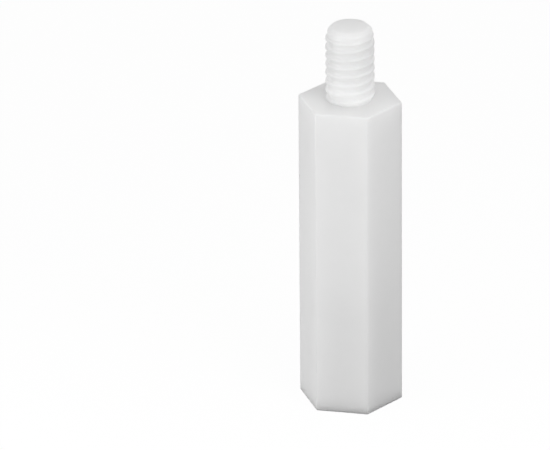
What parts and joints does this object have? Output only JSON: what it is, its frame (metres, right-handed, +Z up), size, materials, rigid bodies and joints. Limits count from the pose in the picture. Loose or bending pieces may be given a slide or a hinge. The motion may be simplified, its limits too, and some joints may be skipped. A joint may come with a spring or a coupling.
{
  "type": "hex standoff",
  "caption": "White nylon hexagonal spacer with a threaded stud on its top end and a blind tapped hole in its bottom end, for holding circuit boards apart.",
  "frame": {"origin": "centre of the bottom face, on the axis, at the mouth of the tapped hole", "axes": "+Z runs up the axis towards the stud, +Y is square to a flat of the hexagon, +X runs through a corner"},
  "size_m": [0.008, 0.007, 0.031],
  "materials": {
    "nylon": "natural white nylon, slightly translucent, satin as moulded"
  },
  "bodies": {
    "root": {"hex_standoff": "nylon"}
  },
  "joints": []
}
